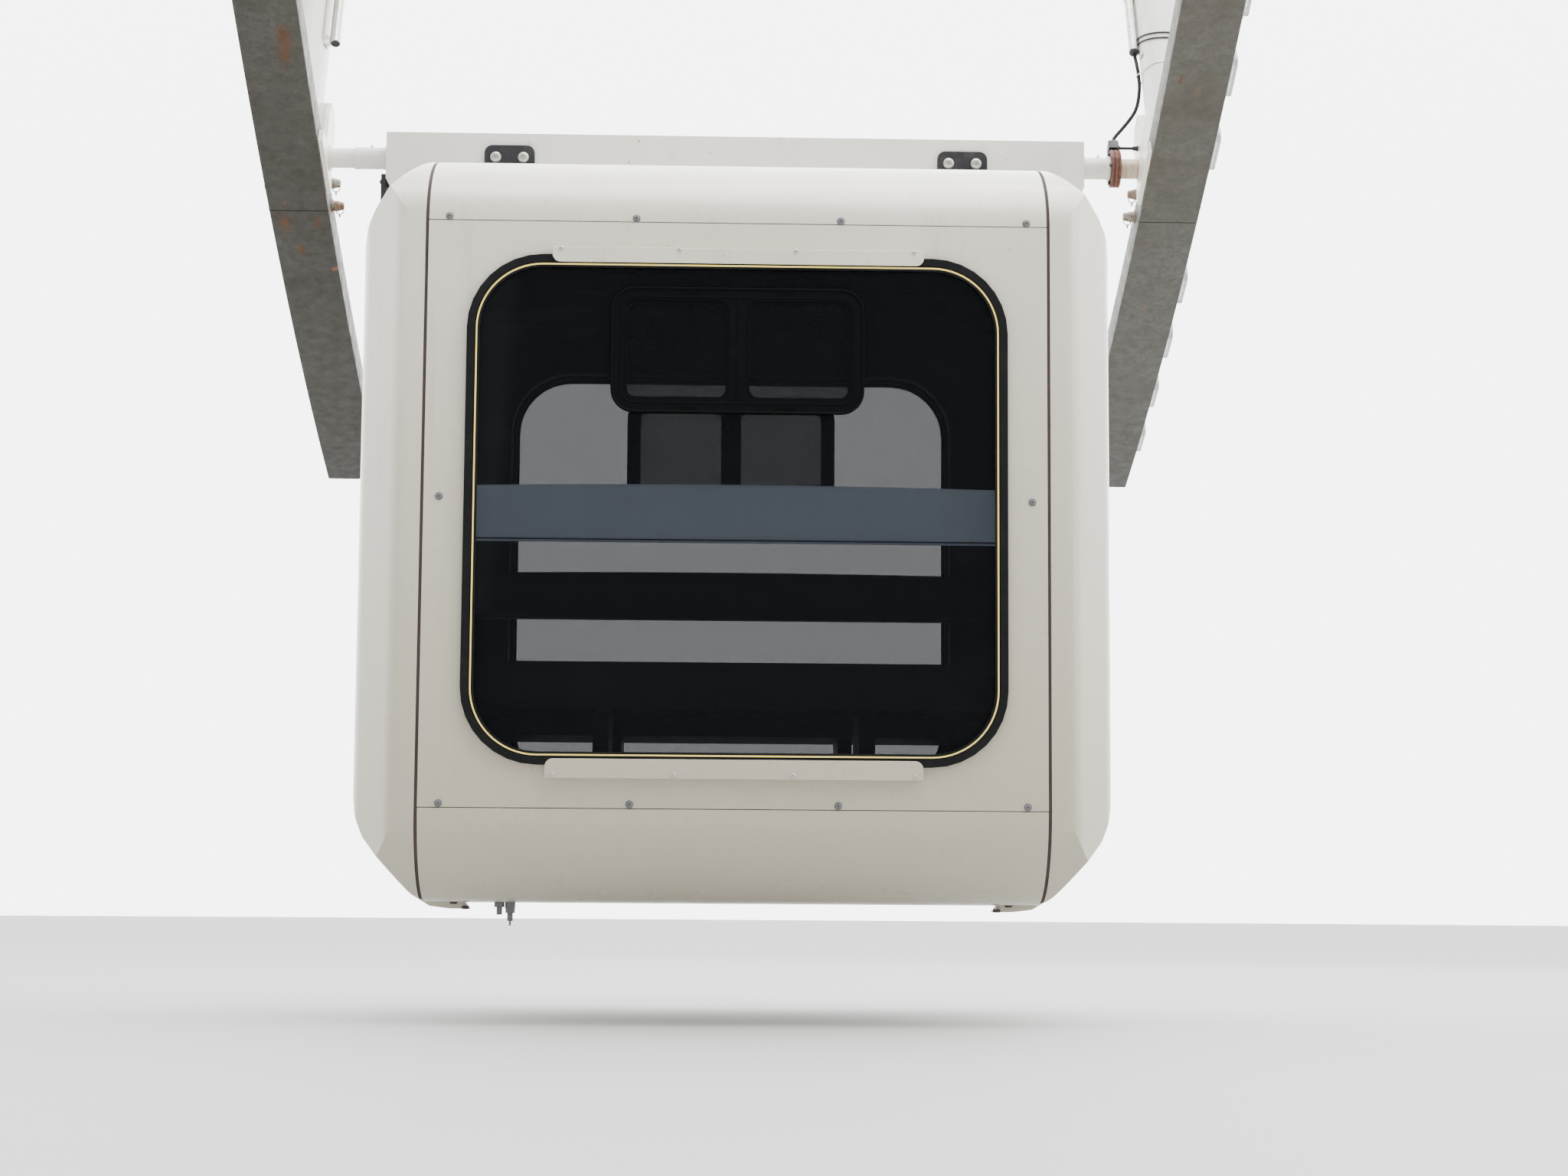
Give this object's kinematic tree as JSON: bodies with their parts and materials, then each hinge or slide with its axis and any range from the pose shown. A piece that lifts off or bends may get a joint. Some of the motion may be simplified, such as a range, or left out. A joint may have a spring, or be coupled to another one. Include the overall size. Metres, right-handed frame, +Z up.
{
  "type": "ferris wheel gondola with its rim bay",
  "caption": "Enclosed ferris wheel cabin with a rounded window in each end, hung by a cross beam and stub shafts between two curved box rims with spoke ends.",
  "frame": {"origin": "middle of the left spoke's hub flange, on its flat face", "axes": "+X along the wheel's axle to the side with the slip ring, +Y along the cabin, +Z up"},
  "size_m": [2.692, 2.952, 3.8906],
  "materials": {
    "white_shell": "glossy warm white, slightly dusty",
    "white_steel": "satin warm white",
    "galvanised": "weathered grey brown galvanised with rust spots",
    "steel": "satin zinc plated",
    "rusty_steel": "surface rust",
    "black_metal": "satin black",
    "rubber": "matt black",
    "tinted_glass": "dark tinted",
    "seating": "dark grey moulded",
    "flooring": "studded grey",
    "lens": "clear ribbed"
  },
  "bodies": {
    "wheel_bay": {"rim_upper_right": "galvanised", "rim_lower_right": "galvanised", "splice_spigot_right": "steel", "splice_pin_upper_right": "steel", "splice_pin_lower_right": "steel", "node_bracket_right": "white_steel", "spoke_right": "white_steel", "lamp_row_upper": "lens", "lamp_row_lower": "lens", "rim_upper_left": "galvanised", "rim_lower_left": "galvanised", "splice_spigot_left": "steel", "splice_pin_upper_left": "steel", "splice_pin_lower_left": "steel", "node_bracket_left": "white_steel", "spoke_left": "white_steel", "thin_conduit": "white_steel", "brush_holder": "black_metal", "conduit_right": "steel", "conduit_left": "steel", "power_cable": "rubber"},
    "gondola": {"cross_beam": "white_steel", "shaft_right": "white_steel", "shaft_left": "white_steel", "slip_ring": "rusty_steel", "hanger_front_right": "black_metal", "hanger_front_left": "black_metal", "hanger_rear_right": "black_metal", "hanger_rear_left": "black_metal", "roof_skin": "white_shell", "belly_skin": "white_shell", "side_shell_right": "white_shell", "side_shell_left": "white_shell", "door_right": "white_shell", "door_left": "white_shell", "door_glass_right": "tinted_glass", "door_glass_left": "tinted_glass", "floor_deck": "flooring", "cabin_lining": "seating", "end_panel_front": "white_shell", "window_seal_front": "rubber", "end_glass_front": "tinted_glass", "vent_frame_front": "black_metal", "bench_front": "seating", "end_panel_rear": "white_shell", "window_seal_rear": "rubber", "end_glass_rear": "tinted_glass", "vent_frame_rear": "black_metal", "bench_rear": "seating"}
  },
  "joints": [
    {"name": "gondola_swing", "type": "hinge", "parent": "wheel_bay", "child": "gondola", "pos_m": [1.226, -0.89864, -1.78674], "axis": [1, 0, 0], "continuous": true}
  ]
}
